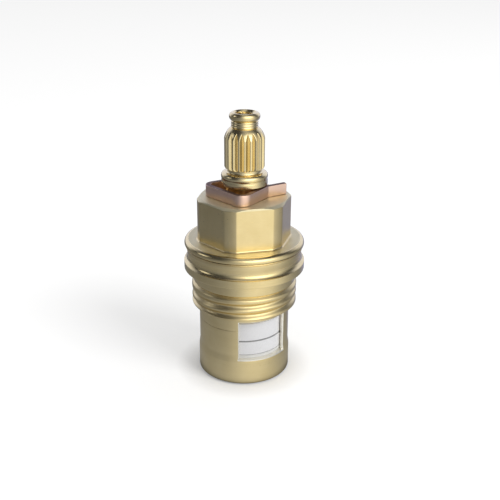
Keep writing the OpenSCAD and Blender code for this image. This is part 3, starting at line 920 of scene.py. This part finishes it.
BACK_WALL = (0.86, 0.92, 1.2)
SIDE_BOX = (-86, 25)
SIDE_BOX_LIGHT = (1.1, 1.12, 1.2)
# in metres and watts
FLOOR_HALF = 1.2
KEY_SIDE = (52, 34)
KEY_DISTANCE = 0.9
KEY_SIZE = 0.45
KEY_POWER = 4.2
KEY_TARGET = (0, 0, 0.03)


def from_camera(azimuth, elevation=0.0):
    """The direction that lies at these angles, in degrees, from the camera's side."""
    angle, rise = VIEW_ANGLE + math.radians(azimuth), math.radians(elevation)
    return Vector((math.cos(angle) * math.cos(rise), math.sin(angle) * math.cos(rise),
                   math.sin(rise)))


def towards(t, direction, azimuth, elevation=0.0):
    """Cosine of the angle between a direction and one given by angles from the camera's side."""
    node = t.node("ShaderNodeVectorMath", operation="DOT_PRODUCT")
    node.inputs[1].default_value = from_camera(azimuth, elevation)
    t.link(direction, node.inputs[0])
    return node.outputs["Value"]


def levelled(t, direction):
    """A direction turned level and brought to unit length."""
    unit = t.node("ShaderNodeVectorMath", operation="NORMALIZE")
    t.link(t.scaled(direction, (1, 1, 0)), unit.inputs[0])
    return unit.outputs[0]


def studio_ramp(t, cosine, stops):
    """Brightness against the cosine from the bright side, cool where dim, warm where bright."""
    node = t.node("ShaderNodeValToRGB")
    elements = node.color_ramp.elements
    elements.remove(elements[1])
    for number, (at, level) in enumerate(stops):
        stop = elements[0] if number == 0 else elements.new((at + 1) / 2)
        warm = min(1.0, level)
        stop.color = [level * (c + (w - c) * warm) for c, w in zip(STUDIO_COOL, STUDIO_WARM)] + [1]
    t.link(t.ramp(cosine, -1, 1), node.inputs[0])
    return node.outputs[0]


def studio_light(t, level, reach=None):
    """Colour of the studio near the floor in a level direction, also by distance out."""
    light = studio_ramp(t, towards(t, level, FAR_SIDE), FAR_STOPS)
    if reach:
        near = studio_ramp(t, towards(t, level, NEAR_SIDE), NEAR_STOPS)
        light = t.mix(t.ramp(reach, NEAR_REACH, FAR_REACH), near, light)
    back = t.ramp(towards(t, level, BEHIND_SIDE), 0.65, 0.95, smooth=True)
    return t.mix(back, light, BEHIND)


def seen_rays(t):
    """1 for camera rays, and 1 for the rays that mirror or pass through, kept apart."""
    path = t.node("ShaderNodeLightPath")
    mirrored = t.math("MAXIMUM", path.outputs["Is Glossy Ray"], path.outputs["Is Transmission Ray"])
    return path.outputs["Is Camera Ray"], mirrored


def floor_material():
    """White paper for the camera, and the lit studio floor for what the brass mirrors."""
    material, t = new_material("floor_white")
    place = millimetres(t)
    camera, mirrored = seen_rays(t)
    reach = t.length(place)
    lit = t.node("ShaderNodeEmission")
    t.link(studio_light(t, levelled(t, place), reach), lit.inputs["Color"])
    # the floor that the brass mirrors fades towards the foot: a painted contact shadow in its
    # reflections
    t.link(t.ramp(reach, FOOT_R - 0.4, FOOT_R + 2.5, 0.1, 1, smooth=True), lit.inputs["Strength"])
    # the paper takes the object's soft shadow from the lamp, and its glow fades towards the foot, a
    # painted contact shadow there
    paper = t.node("ShaderNodeBsdfDiffuse", Color=(0.8, 0.8, 0.8, 1))
    (near, near_glow), (far, far_glow) = FLOOR_GLOW
    glow_level = t.math("MULTIPLY", t.ramp(reach, near, far, near_glow, far_glow),
                        t.ramp(reach, FOOT_R, FOOT_R + 5, 0.5, 1))
    glow = t.node("ShaderNodeEmission", Color=(1, 1, 1, 1))
    t.link(t.math("MULTIPLY", camera, glow_level), glow.inputs["Strength"])
    add = t.node("ShaderNodeAddShader")
    t.link(paper.outputs[0], add.inputs[0])
    t.link(glow.outputs[0], add.inputs[1])
    mix = t.node("ShaderNodeMixShader")
    t.link(mirrored, mix.inputs[0])
    t.link(add.outputs[0], mix.inputs[1])
    t.link(lit.outputs[0], mix.inputs[2])
    out = t.node("ShaderNodeOutputMaterial")
    t.link(mix.outputs[0], out.inputs[0])
    return material


def build_floor():
    corners = [(x * FLOOR_HALF, y * FLOOR_HALF, 0) for x, y in ((-1, -1), (1, -1), (1, 1), (-1, 1))]
    mesh = bpy.data.meshes.new("floor")
    mesh.from_pydata(corners, [], [[0, 1, 2, 3]])
    floor = add_object("floor", mesh)
    give(floor, floor_material())


def build_world():
    """The studio that the brass mirrors; the camera sees white, and other rays a plain grey."""
    world = bpy.data.worlds.new("studio")
    bpy.context.scene.world = world
    world.use_nodes = True
    t = Tree(world.node_tree)
    camera, mirrored = seen_rays(t)
    direction = t.node("ShaderNodeTexCoord").outputs["Generated"]
    level = levelled(t, direction)
    rise = t.parts(direction)[2]
    # like the floor near the horizon, then the key's broad light with darkness on the left
    upper = studio_ramp(t, towards(t, level, HIGH_SIDE), HIGH_STOPS)
    sky = t.mix(t.ramp(rise, 0.0, 0.2, smooth=True), studio_light(t, level), upper)
    top_side = t.ramp(towards(t, level, HIGH_SIDE), 0.2, 0.8, smooth=True)
    top = t.mix(top_side, SKY_TOP_DIM, SKY_TOP)
    sky = t.mix(t.ramp(rise, 0.6, 0.86, 0, 0.9, smooth=True), sky, top)
    sky = t.mix(t.ramp(rise, 0.94, 0.985, smooth=True), sky, ZENITH)
    # a pale wall behind the object and a small soft box high on the left
    behind = t.math("MULTIPLY", t.ramp(towards(t, level, 180), 0.3, 0.75, smooth=True),
                    t.ramp(rise, 0.5, 0.72, 1, 0, smooth=True))
    sky = t.mix(behind, sky, BACK_WALL)
    box = t.ramp(towards(t, direction, *SIDE_BOX), 0.972, 0.992, smooth=True)
    sky = t.mix(box, sky, SIDE_BOX_LIGHT)
    colour = t.mix(camera, t.mix(mirrored, AMBIENT, sky), WHITE)
    shader = t.node("ShaderNodeBackground")
    t.link(colour, shader.inputs["Color"])
    out = t.node("ShaderNodeOutputWorld")
    t.link(shader.outputs[0], out.inputs[0])


def build_key():
    """The one lamp: a soft box aimed at the middle of the object."""
    lamp = bpy.data.lights.new("key", "AREA")
    lamp.shape = "RECTANGLE"
    lamp.size = KEY_SIZE
    lamp.size_y = KEY_SIZE
    lamp.energy = KEY_POWER
    direction = from_camera(*KEY_SIDE)
    key = add_object("key", lamp)
    key.location = Vector(KEY_TARGET) + direction * KEY_DISTANCE
    key.rotation_euler = direction.to_track_quat("Z", "Y").to_euler()
    key.visible_glossy = False


def build_camera():
    rotate = Matrix.Rotation(CAMERA_TURN, 3, "Z")
    forward = rotate @ Vector((0, math.cos(CAMERA_PITCH), -math.sin(CAMERA_PITCH)))
    right = rotate @ Vector((1, 0, 0))
    up = right.cross(forward)
    tilted_right = right * math.cos(CAMERA_ROLL) + up * math.sin(CAMERA_ROLL)
    tilted_up = up * math.cos(CAMERA_ROLL) - right * math.sin(CAMERA_ROLL)
    target = rotate @ Vector(CAMERA_TARGET) * MM
    data = bpy.data.cameras.new("camera")
    data.lens = CAMERA_LENS
    data.sensor_width = CAMERA_FILM
    data.clip_start = 0.005
    camera = add_object("camera", data)
    basis = Matrix((tilted_right, tilted_up, -forward)).transposed().to_4x4()
    camera.matrix_world = Matrix.Translation(target - forward * CAMERA_DISTANCE * MM) @ basis
    bpy.context.scene.camera = camera


body = build_body()
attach(body, "housing")
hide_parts("bonnet")

spindle = build_spindle()
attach(spindle, "spindle")
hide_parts("spindle")

clip = build_clip()
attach(clip, "spindle")
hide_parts("retaining_clip")

for node, material in (("upper_o_ring", o_ring_rubber), ("lower_o_ring", o_ring_rubber),
                       ("slip_washer", plastic), ("moving_disc", ceramic),
                       ("fixed_disc", ceramic), ("seal_support_ring", plastic),
                       ("bottom_seal", seal_rubber)):
    give(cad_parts[node], material)

build_floor()
build_world()
build_key()
build_camera()
bpy.context.scene.view_settings.view_transform = "Standard"
